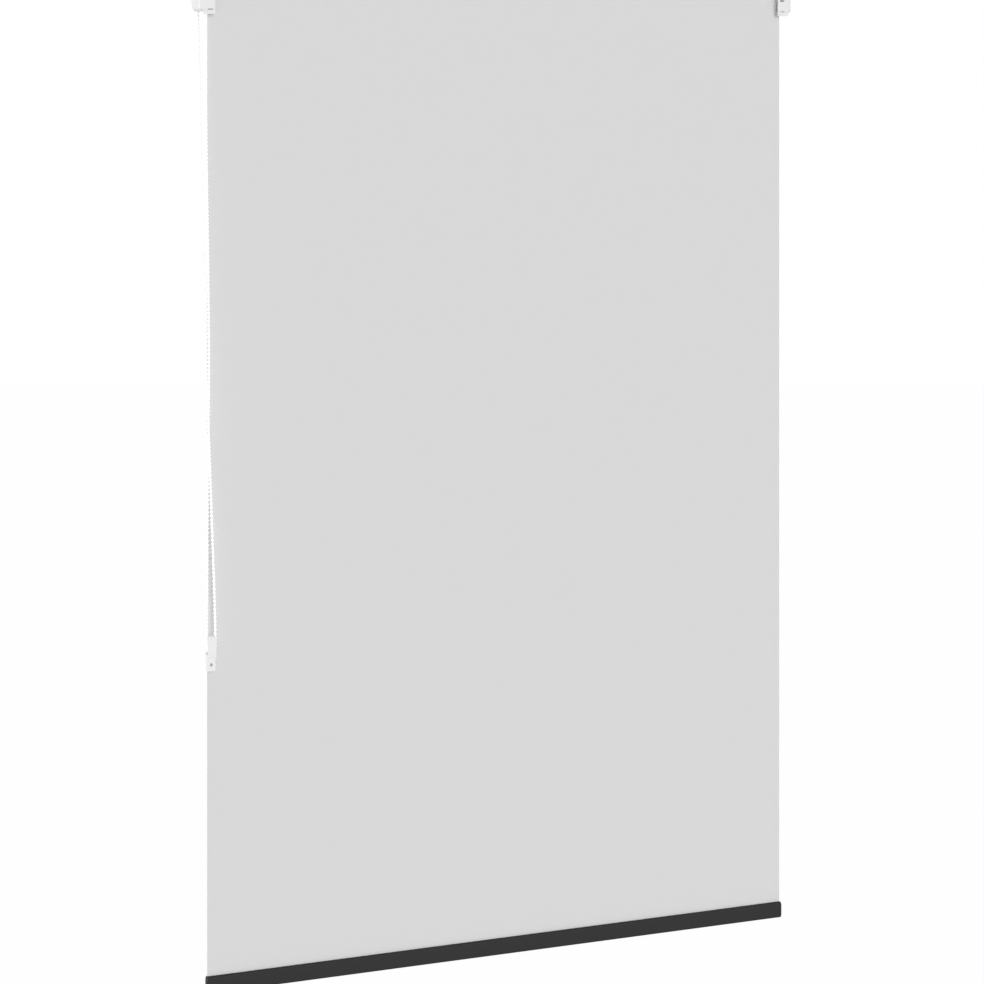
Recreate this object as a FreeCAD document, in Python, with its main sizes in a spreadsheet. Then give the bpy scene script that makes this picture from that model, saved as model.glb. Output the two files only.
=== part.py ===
import FreeCAD, Part
import math
import os
import Sketcher

# Chain-operated blackout roller blind, in millimetres.
# X runs along the roller, from the chain side to the idle side. The wall is the plane Y = 0 and the
# room lies towards -Y. Z is up. The origin is the centre of the four wall screws.

doc = FreeCAD.newDocument("roller_blind")
sizes = doc.addObject("Spreadsheet::Sheet", "sizes")

DRIVING = {
    # fabric, roll and where the roller hangs
    "fabric_width": 966,
    "fabric_thick": 0.4,
    "axis_out": 23.2,
    "axis_drop": 9.5,
    "tube_radius": 14,
    "tube_wall": 1,
    "tape_thick": 0.2,
    "tape_angle": 40,
    "key_count": 3,
    "key_wide": 1.6,
    "key_tall": 1.2,
    # bottom rail with its hem strip and end caps
    "rail_drop": 1447,
    "rail_height": 25,
    "rail_depth": 10,
    "rail_wall": 1.2,
    "rail_corner": 2.4,
    "hem_lip": 1.6,
    "hem_chamber": 5,
    "hem_thick": 2,
    "slot_wide": 1.6,
    "cap_thick": 1.8,
    "cap_ease": 1.5,
    "cap_plug": 12,
    # white covers over the brackets
    "cover_reach": 16,
    "cover_lap": 8.5,
    "cover_front": 49.4,
    "cover_back": 14,
    "cover_below": 24,
    "cover_above": 28,
    "cover_wall": 1.8,
    "cover_corner": 7,
    "cover_round": 4,
    "cover_lip": 8,
    "lip_tall": 3.7,
    "lip_reach": 9.5,
    "rib_thick": 1.2,
    "rib_long": 7,
    "rib_gap": 2,
    "release_wide": 7.5,
    "release_tall": 2,
    "release_pitch": 16.5,
    "release_inset": 7.5,
    # steel brackets and their screw holes
    "steel": 2,
    "flange_below": 9,
    "cheek_below": 13,
    "cheek_back": 16,
    "plate_corner": 3,
    "screw_radius": 2.25,
    "screw_pitch": 20,
    "screw_inset": 2,
    "ceiling_out": 22,
    # chain drive
    "chain_out": 4.9,
    "ball": 4.5,
    "ball_pitch": 6,
    "wheel_balls": 16,
    "wheel_wide": 7,
    "wheel_rim": 1.9,
    "pocket_wide": 3.6,
    "pocket_deep": 0.8,
    "core_flange": 16,
    "core_flange_thick": 3.3,
    "core_inside": 35,
    "boss_radius": 8,
    "boss_key": 3,
    "hub_inside": 8,
    "hub_gap": 1,
    "finger_wall": 1.2,
    "spring_wire": 1.2,
    "spring_long": 8,
    "collar_thick": 1,
    "sleeve_wall": 2.4,
    "guard_wall": 1.6,
    "guard_gap": 0.8,
    # idle end
    "plug_long": 30,
    "pin_radius": 3,
    "pin_collar": 4.2,
    "pin_collar_thick": 2,
    "pin_travel": 5,
    "pin_stem": 12,
    "bush_radius": 5,
    "bush_flange": 8,
    "bush_flange_thick": 1,
    "coil_wire": 0.9,
    # chain tensioner
    "tensioner_in": 2,
    "tensioner_out": 49.2,
    "tensioner_drop": 960,
    "tensioner_wide": 13,
    "tensioner_above": 18,
    "tensioner_below": 14,
    "tensioner_back_gap": 5.5,
    "tensioner_front_gap": 5.5,
    "tensioner_plate": 1.8,
    "tensioner_round": 2.4,
    "tab_deep": 7,
    "tab_long": 20,
    "tab_screw": 10.5,
    "pulley_balls": 7,
    "pulley_wide": 6.6,
    "pulley_rim": 0.3,
    "axle_radius": 2,
    "axle_skin": 0.8,
    # clearances
    "running": 0.06,
    "spare": 0.3,
    "slip": 0.1,
}

for row, (alias, number) in enumerate(DRIVING.items(), start=1):
    sizes.set("A%d" % row, alias)
    sizes.set("B%d" % row, str(number))
    sizes.setAlias("B%d" % row, alias)
doc.recompute()


def value(expression):
    """A size worked out from the sheet, as a number."""
    return float(sizes.evalExpression(expression))


def named(text):
    """The text with each bare size name pointed at the sheet."""
    words = []
    word = ""
    for letter in text + " ":
        if letter.isalnum() or letter == "_":
            word += letter
            continue
        words.append("sizes." + word if word in DRIVING else word)
        words.append(letter)
        word = ""
    return "".join(words).strip()


# Places that many pieces share, as expressions
HALF = "fabric_width / 2"
ROLL_INSIDE = "(tube_radius + tape_thick)"
ROLL = "(tube_radius + tape_thick + 2 * fabric_thick)"
FABRIC_OUT = "(axis_out + tube_radius + tape_thick + 1.5 * fabric_thick)"
CHEEK_FAR = "(cover_reach - cover_wall)"
CHEEK_NEAR = "(cover_reach - cover_wall - steel)"
CHEEK_FRONT = "(cover_front - cover_wall - spare)"
BORE = "(tube_radius - tube_wall)"
HUB = "(%s - sleeve_wall - hub_gap)" % BORE
CORE = "(%s - finger_wall - spring_wire - 2 * slip)" % HUB
WHEEL_PITCH = "(wheel_balls * ball_pitch / 6.2831853)"
PULLEY_PITCH = "(pulley_balls * ball_pitch / 6.2831853)"
GROOVE = "(ball / 2 + spare)"
CORE_NEAR = "(%s - core_flange_thick)" % CHEEK_NEAR
TENSIONER_X = "(-%s + tensioner_in)" % HALF
TENSIONER_Z = "(-axis_drop - tensioner_drop)"


def bind(piece, prop, expression):
    piece.setExpression(prop, named(expression))


class Piece:
    """One separate part of the blind: a body, with the features that shape it."""

    def __init__(self, name, at=("0", "0", "0")):
        self.body = doc.addObject("PartDesign::Body", name)
        self.body.Label = name
        self.planes = {feature.Role: feature for feature in self.body.Origin.OriginFeatures}
        for letter, place in zip("xyz", at):
            bind(self.body, "Placement.Base." + letter, place)

    def feature(self, kind, plane, offset, **settings):
        made = self.body.newObject("PartDesign::" + kind, kind)
        made.AttachmentSupport = [(self.planes[plane], "")]
        made.MapMode = "FlatFace"
        for letter, place in zip("xyz", offset):
            bind(made, "AttachmentOffset.Base." + letter, place)
        for prop, expression in settings.items():
            bind(made, prop, expression)
        return made

    def box(self, low, size, cut=False):
        """Block from its low corner, with its sizes along X, Y and Z."""
        kind = "SubtractiveBox" if cut else "AdditiveBox"
        return self.feature(kind, "XY_Plane", low, Length=size[0], Width=size[1], Height=size[2])

    def bar(self, along, centre, start, length, radius, cut=False):
        """Round bar. Along X it runs towards +X, along Y towards the room, along Z up."""
        plane = {"X": "YZ_Plane", "Y": "XZ_Plane", "Z": "XY_Plane"}[along]
        kind = "SubtractiveCylinder" if cut else "AdditiveCylinder"
        return self.feature(kind, plane, (*centre, start), Radius=radius, Height=length)

    def sketch(self, plane, offset, corners):
        """Closed outline through corners, each a pair of expressions."""
        made = self.body.newObject("Sketcher::SketchObject", "outline")
        made.AttachmentSupport = [(self.planes[plane], "")]
        made.MapMode = "FlatFace"
        bind(made, "AttachmentOffset.Base.z", offset)
        points = [FreeCAD.Vector(value(named(a)), value(named(b)), 0) for a, b in corners]
        for here, there in zip(points, points[1:] + points[:1]):
            made.addGeometry(Part.LineSegment(here, there), False)
        for side in range(len(points)):
            made.addConstraint(Sketcher.Constraint("Coincident", side, 2, (side + 1) % len(points), 1))
        for side, (point, corner) in enumerate(zip(points, corners)):
            for kind, where, expression in (("DistanceX", point.x, corner[0]), ("DistanceY", point.y, corner[1])):
                rule = made.addConstraint(Sketcher.Constraint(kind, -1, 1, side, 1, where))
                bind(made, "Constraints[%d]" % rule, expression)
        return made

    def pad(self, sketch, length, middle=False):
        made = self.body.newObject("PartDesign::Pad", "pad")
        made.Profile = sketch
        made.Midplane = middle
        bind(made, "Length", length)
        return made

    def pocket(self, sketch, length):
        made = self.body.newObject("PartDesign::Pocket", "pocket")
        made.Profile = sketch
        made.Reversed = True
        bind(made, "Length", length)
        return made

    def fillet(self, radius, chosen):
        """Rounds the edges that chosen picks by their middle and direction."""
        doc.recompute()
        base = self.body.Tip
        names = []
        for number, edge in enumerate(base.Shape.Edges, start=1):
            middle = edge.CenterOfMass
            if edge.Curve.TypeId == "Part::GeomLine" and chosen(middle, edge.tangentAt(edge.FirstParameter)):
                names.append("Edge%d" % number)
        made = self.body.newObject("PartDesign::Fillet", "fillet")
        made.Base = (base, names)
        bind(made, "Radius", radius)
        return made

    def around(self, feature, axis, count, angle="360"):
        """Copies a feature round an axis of the body."""
        doc.recompute()
        made = self.body.newObject("PartDesign::PolarPattern", "around")
        made.Originals = [feature]
        made.Axis = (self.planes[axis], [""])
        bind(made, "Angle", angle)
        bind(made, "Occurrences", count)
        self.body.Tip = made
        return made


pieces = []


def keep(piece):
    pieces.append(piece.body if isinstance(piece, Piece) else piece)
    return piece


def same(a, b):
    return abs(a - b) < 0.01


def from_edge(side, near, far):
    """Low X of what spans near to far, both measured outwards from the fabric's edge on one side."""
    if side > 0:
        return "%s + (%s)" % (HALF, near)
    return "-(%s) - (%s)" % (HALF, far)


ON_AXIS = ("0", "-axis_out", "-axis_drop")


# Steel brackets: a wall flange and a ceiling flange, both drilled, and a cheek between them that carries
# the end of the roller. The two are a mirrored pair, apart from the hole at the roller axis.
def bracket(name, side):
    piece = Piece(name)
    top = "-axis_drop + cover_above"
    wide = CHEEK_FAR + " + cover_lap"
    tall = "flange_below + cover_above"
    low = "-axis_drop - flange_below"
    flange_x = from_edge(side, "-cover_lap", CHEEK_FAR)
    cheek_x = from_edge(side, CHEEK_NEAR, CHEEK_FAR)
    piece.box((flange_x, "-steel", low), (wide, "steel", tall))
    piece.box((flange_x, "-" + CHEEK_FRONT, top + " - steel"), (wide, CHEEK_FRONT, "steel"))
    piece.box((cheek_x, "-" + CHEEK_FRONT, low), ("steel", CHEEK_FRONT, tall))
    piece.box(
        (cheek_x, "-" + CHEEK_FRONT, "-axis_drop - cheek_below"),
        ("steel", CHEEK_FRONT + " - cheek_back", "cheek_below"),
    )
    low_z = value(named(low))
    front = -value(named(CHEEK_FRONT))
    inner_x = side * value(named(HALF + " - cover_lap"))

    def plate_corner(middle, along):
        on_wall = abs(along.y) > 0.9 and same(middle.z, low_z)
        on_ceiling = abs(along.z) > 0.9 and same(middle.y, front)
        return same(middle.x, inner_x) and (on_wall or on_ceiling)

    piece.fillet("plate_corner", plate_corner)
    hole_x = from_edge(side, "screw_inset", "screw_inset")
    for shift in ("-screw_pitch / 2", "screw_pitch / 2"):
        piece.bar("Y", (hole_x, shift), "0", "steel", "screw_radius", cut=True)
        piece.bar("Z", (hole_x, "-ceiling_out + " + shift), top + " - steel", "steel", "screw_radius", cut=True)
    return piece, cheek_x


drive_bracket, cheek_x = bracket("drive_bracket", -1)
drive_bracket.bar("X", ("-axis_out", "-axis_drop"), cheek_x, "steel", "boss_radius + slip", cut=True)
drive_bracket.box(
    (cheek_x, "-axis_out - boss_key / 2 - slip", "-axis_drop - boss_radius - boss_key - slip"),
    ("steel", "boss_key + 2 * slip", "2 * (boss_radius + boss_key + slip)"),
    cut=True,
)
keep(drive_bracket)

idle_bracket, cheek_x = bracket("idle_bracket", 1)
idle_bracket.bar("X", ("-axis_out", "-axis_drop"), cheek_x, "steel", "bush_radius", cut=True)
keep(idle_bracket)


# Moulded covers, one on each bracket: a front wall and an outer side wall, a large round along the lower
# outer corner and a smaller one round the front. The top is open under the ceiling flange, and the inner
# side over the fabric. A lip hangs below the front over the opening in the floor, and a rib below the lowest
# slot runs back towards the fabric.
def cover(name, side):
    piece = Piece(name)
    low = "-axis_drop - cover_below"
    floor = low + " + lip_tall"
    high = "-axis_drop + cover_above"
    outer = "%d * (%s + cover_reach)" % (side, HALF)
    inner = "%d * (%s - cover_lap)" % (side, HALF)
    shell = piece.sketch("XZ_Plane", "cover_back", [(outer, floor), (inner, floor), (inner, high), (outer, high)])
    piece.pad(shell, "cover_front - cover_back")
    outer_x = value(named(outer))
    floor_z = value(named(floor))
    front = -value(named("cover_front"))
    piece.fillet(
        "cover_corner",
        lambda middle, along: abs(along.y) > 0.9 and same(middle.x, outer_x) and same(middle.z, floor_z),
    )
    piece.fillet(
        "cover_round",
        lambda middle, along: same(middle.y, front) and abs(along.z) > 0.9 and same(middle.x, outer_x),
    )
    lip_deep = "cover_round + cover_wall / 2"
    piece.box(
        (from_edge(side, "-cover_lap", "lip_reach"), "-cover_front", low),
        ("cover_lap + lip_reach", lip_deep, "lip_tall + cover_wall / 2"),
    )
    wall = "%d * (%s + cover_reach - cover_wall)" % (side, HALF)
    bend = "%d * (%s + cover_reach - cover_corner)" % (side, HALF)
    beyond = "%d * (%s - cover_lap - cover_wall)" % (side, HALF)
    diagonal = "(cover_corner - cover_wall) * 0.7071"
    hollow = piece.sketch(
        "XZ_Plane",
        "cover_back",
        [
            (wall, high + " + cover_wall"),
            (wall, floor + " + cover_corner"),
            (bend + " + %d * %s" % (side, diagonal), floor + " + cover_corner - " + diagonal),
            (bend, floor + " + cover_wall"),
            (beyond, floor + " + cover_wall"),
            (beyond, high + " + cover_wall"),
        ],
    )
    piece.pocket(hollow, "cover_front - cover_back - cover_wall")
    piece.box(
        (
            from_edge(side, "-cover_lap - cover_wall", "cover_lip"),
            "-cover_front + " + lip_deep,
            floor + " - cover_wall",
        ),
        ("cover_lap + cover_wall + cover_lip", "cover_front", "3 * cover_wall"),
        cut=True,
    )
    piece.box(
        (
            from_edge(side, "-cover_lap", "-cover_lap + rib_long"),
            "-cover_front + cover_wall / 2",
            "-axis_drop - release_pitch - release_tall / 2 - 2 * rib_thick",
        ),
        ("rib_long", "cover_front - cover_wall / 2 - rib_gap - " + FABRIC_OUT, "rib_thick"),
    )
    middle_in = "cover_lap - release_inset"
    slot_x = from_edge(side, "-(%s) - release_wide / 2" % middle_in, "-(%s) + release_wide / 2" % middle_in)
    for step in (-1, 0, 1):
        piece.box(
            (slot_x, "-cover_front - spare", "-axis_drop + %d * release_pitch - release_tall / 2" % step),
            ("release_wide", "cover_wall + 2 * spare", "release_tall"),
            cut=True,
        )
    return keep(piece)


cover("drive_cover", -1)
cover("idle_cover", 1)


# Roller tube: drawn aluminium with small keys inside that turn the sleeve and the plug. Two wraps of
# fabric stay on it when the blind is down, stuck at the start by a strip of tape.
def keyways(piece, start, length, clearance):
    """Grooves in a fitting that slide over the keys inside the tube."""
    groove = piece.box(
        (start, "-key_wide / 2 - " + clearance, BORE + " - key_tall - " + clearance),
        (length, "key_wide + 2 * " + clearance, "key_tall + 1"),
        cut=True,
    )
    piece.around(groove, "X_Axis", "key_count")


tube = Piece("roller_tube", ON_AXIS)
tube.bar("X", ("0", "0"), "-" + HALF, "fabric_width", "tube_radius")
tube.bar("X", ("0", "0"), "-" + HALF, "fabric_width", BORE, cut=True)
key = tube.box(
    ("-" + HALF, "-key_wide / 2", BORE + " - key_tall"),
    ("fabric_width", "key_wide", "key_tall + tube_wall / 2"),
)
tube.around(key, "X_Axis", "key_count")
keep(tube)


ALONG_X = FreeCAD.Rotation(FreeCAD.Vector(1, 1, 1), 120)


def sector(name, start, length, radius, angle, turned=0):
    """Part of a disc along the roller axis. Its angle starts at the wall side and goes up over the top."""
    piece = doc.addObject("Part::Cylinder", name)
    piece.Label = name
    bind(piece, "Radius", radius)
    bind(piece, "Height", length)
    bind(piece, "Angle", angle)
    piece.Placement.Rotation = FreeCAD.Rotation(FreeCAD.Vector(1, 0, 0), turned).multiply(ALONG_X)
    bind(piece, "Placement.Base.x", start)
    bind(piece, "Placement.Base.y", "-axis_out")
    bind(piece, "Placement.Base.z", "-axis_drop")
    return piece


def cut(name, base, tool):
    piece = doc.addObject("Part::Cut", name)
    piece.Label = name
    piece.Base = base
    piece.Tool = tool
    return piece


def fuse(name, parts):
    piece = doc.addObject("Part::MultiFuse", name)
    piece.Label = name
    piece.Shapes = parts
    return piece


# The wraps are a spiral: above the axis the outside is one layer further out at the room side, where the
# fabric leaves it, than where the layer below it comes round again.
upper_wrap = sector("upper_wrap", "-" + HALF, "fabric_width", ROLL, "180")
lower_wrap = sector("lower_wrap", "-" + HALF, "fabric_width", ROLL + " - fabric_thick / 2", "180", turned=180)
bind(lower_wrap, "Placement.Base.y", "-axis_out + fabric_thick / 2")
wrap_bore = sector("wrap_bore", "-" + HALF, "fabric_width", ROLL_INSIDE, "360")
keep(cut("fabric_roll", fuse("both_wraps", [upper_wrap, lower_wrap]), wrap_bore))

tape_outside = sector("tape_outside", "-" + HALF, "fabric_width", ROLL_INSIDE, "tape_angle")
tape_inside = sector("tape_inside", "-" + HALF, "fabric_width", "tube_radius", "360")
keep(cut("fabric_tape", tape_outside, tape_inside))

# Hanging fabric: one flat width from the roll's room side to the strip in the bottom rail
hanging = Piece("hanging_fabric", ("0", "-" + FABRIC_OUT, "-axis_drop"))
hanging.box(
    ("-" + HALF, "-fabric_thick / 2", "-rail_drop - hem_lip"),
    ("fabric_width", "fabric_thick", "rail_drop + hem_lip"),
)
keep(hanging)

# Bottom rail: extruded aluminium, hollow below, with a slotted chamber on top for the hem strip
IN_RAIL = ("0", "-" + FABRIC_OUT, "-axis_drop - rail_drop")
rail = Piece("bottom_rail", IN_RAIL)
section = rail.sketch(
    "YZ_Plane",
    "0",
    [
        ("-rail_depth / 2", "-rail_height"),
        ("rail_depth / 2", "-rail_height"),
        ("rail_depth / 2", "0"),
        ("-rail_depth / 2", "0"),
    ],
)
rail.pad(section, "fabric_width", middle=True)
rail.fillet("rail_corner", lambda middle, along: abs(along.x) > 0.9)
INSIDE = "rail_depth - 2 * rail_wall"
CHAMBER_LOW = "(-hem_lip - hem_chamber)"
rail.box(
    ("-" + HALF, "-rail_depth / 2 + rail_wall", CHAMBER_LOW),
    ("fabric_width", INSIDE, "hem_chamber"),
    cut=True,
)
rail.box(("-" + HALF, "-slot_wide / 2", "-hem_lip"), ("fabric_width", "slot_wide", "hem_lip"), cut=True)
rail.box(
    ("-" + HALF, "-rail_depth / 2 + rail_wall", "-rail_height + rail_wall"),
    ("fabric_width", INSIDE, "rail_height - 2 * rail_wall - hem_lip - hem_chamber"),
    cut=True,
)
keep(rail)

hem = Piece("hem_strip", IN_RAIL)
hem.box(
    ("-" + HALF, "-rail_depth / 2 + rail_wall + spare", "-hem_lip - hem_thick"),
    ("fabric_width", INSIDE + " - 2 * spare", "hem_thick"),
)
keep(hem)


# End caps of the rail: a plate as large as the section, eased round its edge, with a plug in the lower hollow
def rail_cap(name, side):
    piece = Piece(name, IN_RAIL)
    start = "0" if side > 0 else "-cap_thick"
    outline = piece.sketch(
        "YZ_Plane",
        "%d * (%s) + %s" % (side, HALF, start),
        [
            ("-rail_depth / 2", "-rail_height"),
            ("rail_depth / 2", "-rail_height"),
            ("rail_depth / 2", "0"),
            ("-rail_depth / 2", "0"),
        ],
    )
    piece.pad(outline, "cap_thick")
    piece.fillet("rail_corner", lambda middle, along: abs(along.x) > 0.9)
    doc.recompute()
    outer_x = side * value(named(HALF + " + cap_thick"))
    rim = [
        "Edge%d" % number
        for number, edge in enumerate(piece.body.Tip.Shape.Edges, start=1)
        if same(edge.CenterOfMass.x, outer_x)
    ]
    plate = piece.body.Tip
    eased = piece.body.newObject("PartDesign::Chamfer", "eased")
    eased.Base = (plate, rim)
    bind(eased, "Size", "cap_ease")
    plug_x = HALF + " - cap_plug" if side > 0 else "-" + HALF
    piece.box(
        (plug_x, "-rail_depth / 2 + rail_wall + slip", "-rail_height + rail_wall + slip"),
        ("cap_plug", INSIDE + " - 2 * slip", "rail_height - 2 * rail_wall - hem_lip - hem_chamber - 2 * slip"),
    )
    return keep(piece)


rail_cap("rail_cap_left", -1)
rail_cap("rail_cap_right", 1)

# Drive core: fixed to the bracket by a keyed boss. The wheel turns on it, and the springs grip its drum.
core = Piece("drive_core", ON_AXIS)
DRUM = "-%s + core_inside" % HALF
core.bar("X", ("0", "0"), "-%s - %s" % (HALF, CORE_NEAR), "%s + core_inside" % CORE_NEAR, CORE)
core.bar("X", ("0", "0"), "-%s - %s" % (HALF, CHEEK_NEAR), "core_flange_thick", "core_flange")
core.bar("X", ("0", "0"), "-%s - %s" % (HALF, CHEEK_FAR), "steel", "boss_radius")
core.box(
    ("-%s - %s" % (HALF, CHEEK_FAR), "-boss_key / 2", "-boss_radius - boss_key"),
    ("steel", "boss_key", "2 * (boss_radius + boss_key)"),
)
core.bar("X", ("0", "0"), "%s - 2 * %s" % (DRUM, CORE), "2 * " + CORE, "axle_radius - 0.2", cut=True)
keep(core)

# Chain wheel: a pocketed wheel with a hub that reaches into the tube and a finger over the springs
WHEEL_FAR = "(chain_out + wheel_wide / 2)"
WHEEL_NEAR = "(chain_out - wheel_wide / 2)"
wheel = Piece("chain_wheel", ("-%s - chain_out" % HALF, "-axis_out", "-axis_drop"))
wheel.bar("X", ("0", "0"), "-wheel_wide / 2", "wheel_wide", "%s - %s" % (WHEEL_PITCH, GROOVE))
for start in ("-wheel_wide / 2", GROOVE):
    wheel.bar("X", ("0", "0"), start, "wheel_wide / 2 - " + GROOVE, WHEEL_PITCH + " + wheel_rim")
wheel.bar("X", ("0", "0"), "0", "chain_out + hub_inside", HUB)
SPRINGS = "(2 * spring_long + 3 * spare)"
wheel.feature(
    "AdditiveCylinder",
    "YZ_Plane",
    ("0", "0", "chain_out"),
    Radius=HUB,
    Height="hub_inside + " + SPRINGS,
    Angle="60",
)
wheel.bar(
    "X",
    ("0", "0"),
    "chain_out + hub_inside",
    SPRINGS + " + 1",
    HUB + " - finger_wall",
    cut=True,
)
wheel.bar("X", ("0", "0"), "-wheel_wide", "50 + chain_out", CORE + " + running", cut=True)
pocket = wheel.box(
    ("-" + GROOVE, "-pocket_wide / 2", "%s - %s - pocket_deep" % (WHEEL_PITCH, GROOVE)),
    ("2 * " + GROOVE, "pocket_wide", "pocket_deep + " + GROOVE),
    cut=True,
)
wheel.around(pocket, "X_Axis", "wheel_balls")
keep(wheel)


# Wrap springs: two short coils closed up tight on the drum, each with its ends bent outwards
def coil_spring(name, start, length):
    outside = sector(name + "_outside", start, length, CORE + " + running + spring_wire", "360")
    inside = sector(name + "_inside", start, length, CORE + " + running", "360")
    return cut(name, outside, inside)


first_coil = coil_spring("first_coil", "-%s + hub_inside + spare" % HALF, "spring_long")
second_coil = coil_spring("second_coil", "-%s + hub_inside + 2 * spare + spring_long" % HALF, "spring_long")
springs = doc.addObject("Part::Compound", "wrap_springs")
springs.Label = "wrap_springs"
springs.Links = [first_coil, second_coil]
keep(springs)

# Output sleeve: keyed in the tube, with a collar against its end and an end wall that runs on the drum
sleeve = Piece("drive_sleeve", ("-" + HALF, "-axis_out", "-axis_drop"))
sleeve.bar("X", ("0", "0"), "0", "core_inside - spare", BORE + " - running")
keyways(sleeve, "0", "core_inside", "slip")
sleeve.bar("X", ("0", "0"), "-collar_thick", "collar_thick", "tube_radius")
sleeve.bar(
    "X",
    ("0", "0"),
    "-collar_thick",
    "collar_thick + hub_inside + %s + spare" % SPRINGS,
    BORE + " - sleeve_wall",
    cut=True,
)
sleeve.bar("X", ("0", "0"), "0", "core_inside", CORE + " + running", cut=True)
keep(sleeve)

core_screw = Piece("core_screw", ("-%s + core_inside" % HALF, "-axis_out", "-axis_drop"))
core_screw.bar("X", ("0", "0"), "0", "steel", CORE + " + sleeve_wall")
core_screw.bar("X", ("0", "0"), "-" + CORE, CORE, "axle_radius - 0.2")
keep(core_screw)

# Chain guard: an arch over the wheel that keeps the balls in their pockets, open below for the chain
GUARD_RADIUS = "(%s + wheel_rim + guard_gap)" % WHEEL_PITCH
GUARD_X = "-%s - %s" % (HALF, CHEEK_NEAR)
GUARD_LONG = "%s - %s" % (CHEEK_NEAR, WHEEL_NEAR)
arch = sector("guard_outside", GUARD_X, GUARD_LONG, GUARD_RADIUS + " + guard_wall", "180")
arch_inside = sector("guard_inside", GUARD_X, GUARD_LONG, GUARD_RADIUS, "360")
keep(cut("chain_guard", arch, arch_inside))

# Idle end: a plug keyed in the tube, and a sprung pin that slides in it and turns in a bush
PLUG_X = "%s - plug_long" % HALF
PIN_TIP = "bush_flange_thick + steel"
plug = Piece("idle_plug", ("%s" % HALF, "-axis_out", "-axis_drop"))
plug.bar("X", ("0", "0"), "-plug_long", "plug_long", BORE + " - running")
keyways(plug, "-plug_long", "plug_long", "slip")
plug.bar("X", ("0", "0"), "0", "collar_thick", "tube_radius")
plug.bar("X", ("0", "0"), "-plug_long", "plug_long + collar_thick", "pin_radius + running", cut=True)
CHAMBER_END = "(-collar_thick * 2)"
CHAMBER_LONG = "(pin_collar_thick + pin_stem + pin_travel)"
plug.bar(
    "X",
    ("0", "0"),
    "%s - %s" % (CHAMBER_END, CHAMBER_LONG),
    CHAMBER_LONG,
    "pin_collar + spare",
    cut=True,
)
keep(plug)

pin = Piece("idle_pin", ("%s" % HALF, "-axis_out", "-axis_drop"))
PIN_START = "(-collar_thick * 2 - %s - pin_travel)" % CHAMBER_LONG
pin.bar("X", ("0", "0"), PIN_START, "%s - %s" % (CHEEK_FAR, PIN_START), "pin_radius")
pin.bar("X", ("0", "0"), CHAMBER_END + " - pin_collar_thick", "pin_collar_thick", "pin_collar")
keep(pin)

bush = Piece("idle_bush", ("%s" % HALF, "-axis_out", "-axis_drop"))
bush.bar("X", ("0", "0"), CHEEK_NEAR, "steel", "bush_radius")
bush.bar("X", ("0", "0"), CHEEK_NEAR + " - bush_flange_thick", "bush_flange_thick", "bush_flange")
bush.bar(
    "X",
    ("0", "0"),
    CHEEK_NEAR + " - bush_flange_thick",
    "bush_flange_thick + steel",
    "pin_radius + running",
    cut=True,
)
keep(bush)


# Idle spring: a coil round the pin, between its collar and the chamber's bottom, drawn closed up
SPRING_X = "%s + %s - %s + slip" % (HALF, CHAMBER_END, CHAMBER_LONG)
SPRING_LONG = "pin_stem + pin_travel - 2 * slip"
SPRING_MIDDLE = "(pin_radius + pin_collar + spare) / 2"
spring_outside = sector("spring_outside", SPRING_X, SPRING_LONG, SPRING_MIDDLE + " + coil_wire / 2", "360")
spring_inside = sector("spring_inside", SPRING_X, SPRING_LONG, SPRING_MIDDLE + " - coil_wire / 2", "360")
keep(cut("idle_spring", spring_outside, spring_inside))

# Chain tensioner: two plates joined below the pulley and run on into a screw tab. It is open at the sides,
# where the chain's lower bend stands out past the plates, and hangs in front of the fabric's edge.
IN_TENSIONER = (TENSIONER_X, "-tensioner_out", TENSIONER_Z)
BACK = "tensioner_back_gap"
JOIN = BACK + " - tensioner_plate"
TAB_END = "-tensioner_below - tab_long"
TAB_SCREW = "-tensioner_below - tab_screw"
PLATE_LONG = "tensioner_above + tensioner_below"


def round_ends(piece):
    top = value(named("tensioner_above"))
    foot = value(named(TAB_END))
    piece.fillet(
        "tensioner_round",
        lambda middle, along: abs(along.y) > 0.9 and (same(middle.z, top) or same(middle.z, foot)),
    )


back = Piece("tensioner_back", IN_TENSIONER)
back.box(
    ("-tensioner_wide / 2", JOIN, TAB_END),
    ("tensioner_wide", "tensioner_plate", PLATE_LONG + " + tab_long"),
)
round_ends(back)
back.bar("Y", ("0", "0"), "-%s" % BACK, "tensioner_plate", "axle_radius", cut=True)
back.bar("Y", ("0", TAB_SCREW), "-%s" % BACK, "tensioner_plate", "screw_radius", cut=True)
keep(back)

front = Piece("tensioner_front", IN_TENSIONER)
front.box(
    ("-tensioner_wide / 2", "-tensioner_front_gap", "-tensioner_below"),
    ("tensioner_wide", "tensioner_plate", PLATE_LONG),
)
front.box(
    ("-tensioner_wide / 2", "-tensioner_front_gap", "-tensioner_below"),
    (
        "tensioner_wide",
        "tensioner_front_gap + " + JOIN,
        "tensioner_below - %s - ball / 2 - spare" % PULLEY_PITCH,
    ),
)
front.box(
    ("-tensioner_wide / 2", BACK + " - tab_deep", TAB_END),
    ("tensioner_wide", "tab_deep - tensioner_plate", "tab_long"),
)
round_ends(front)
front.bar("Y", ("0", "0"), "0", "tensioner_front_gap - axle_skin", "axle_radius", cut=True)
front.bar("Y", ("0", TAB_SCREW), "-%s" % BACK, "2 * tab_deep", "screw_radius", cut=True)
keep(front)

axle = Piece("tensioner_axle", IN_TENSIONER)
axle.bar("Y", ("0", "0"), "-%s" % BACK, "tensioner_back_gap + tensioner_front_gap - axle_skin", "axle_radius")
keep(axle)

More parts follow.
